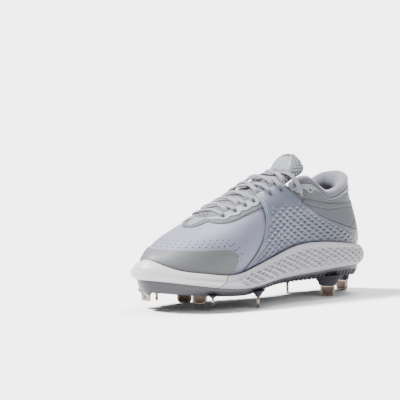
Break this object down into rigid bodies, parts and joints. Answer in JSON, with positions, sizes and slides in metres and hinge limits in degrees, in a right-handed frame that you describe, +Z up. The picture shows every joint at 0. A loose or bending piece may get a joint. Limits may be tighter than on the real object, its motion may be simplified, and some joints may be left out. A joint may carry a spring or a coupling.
{
  "type": "baseball cleat",
  "caption": "Left low-cut baseball shoe with padded collar, laced throat, foam midsole and metal spikes under a hard plate.",
  "frame": {"origin": "on the floor under the centre of the shoe's bounding box, where the spikes' flat feet stand", "axes": "+X from heel to toe, +Y to the lateral (outer) side of this left shoe, +Z up"},
  "size_m": [0.3, 0.106, 0.1438],
  "materials": {
    "foam": "matte moulded foam",
    "bumper_rubber": "satin",
    "plate_plastic": "satin",
    "spike_metal": "bronze plated, glossy",
    "vamp_synthetic": "fine grain",
    "panel_synthetic": "raised diamonds",
    "eyestay_synthetic": "matte",
    "toe_synthetic": "matte",
    "counter_synthetic": "matte",
    "collar_textile": "soft knit",
    "tongue_mesh": "dotted mesh",
    "lace_cord": "woven",
    "insole_textile": "matte textile"
  },
  "bodies": {
    "root": {"outsole_plate": "plate_plastic", "midsole": "foam", "toe_bumper": "bumper_rubber", "upper": "vamp_synthetic", "insole": "insole_textile", "collar": "collar_textile", "eyestay": "eyestay_synthetic", "side_panel": "panel_synthetic", "heel_counter": "counter_synthetic", "toe_overlay": "toe_synthetic", "tongue": "tongue_mesh", "lace_bar": "lace_cord", "spike_1": "spike_metal", "spike_2": "spike_metal", "spike_3": "spike_metal", "spike_4": "spike_metal", "spike_5": "spike_metal", "spike_6": "spike_metal", "spike_7": "spike_metal", "spike_8": "spike_metal", "spike_9": "spike_metal", "spike_10": "spike_metal", "lace_cross_1": "lace_cord", "lace_cross_2": "lace_cord", "lace_cross_3": "lace_cord", "lace_cross_4": "lace_cord", "lace_cross_5": "lace_cord", "lace_cross_6": "lace_cord"}
  },
  "joints": []
}
